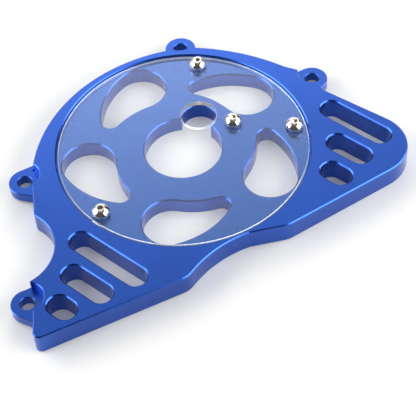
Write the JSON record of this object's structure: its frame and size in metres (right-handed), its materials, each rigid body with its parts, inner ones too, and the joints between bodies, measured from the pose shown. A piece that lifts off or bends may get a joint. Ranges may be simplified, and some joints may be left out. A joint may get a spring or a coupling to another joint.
{
  "type": "motorcycle sprocket cover",
  "caption": "Flat machined sprocket cover with lowered bolt ears, slotted wings and comma windows, its pocket closed by a clear round disc that button-head screws on washers hold.",
  "frame": {"origin": "centre of the part's box on the plane of the plate's back face", "axes": "+Z out of the plate's front face, +X towards the short-slot wing on the right, +Y towards the top ear"},
  "size_m": [0.2208, 0.2128, 0.0165],
  "materials": {
    "blue_anodised": "satin blue anodised",
    "clear_plastic": "clear polished",
    "stainless": "polished stainless"
  },
  "bodies": {
    "root": {"cover_plate": "blue_anodised", "clear_disc": "clear_plastic", "button_screws": "stainless", "screw_washers": "stainless"}
  },
  "joints": []
}
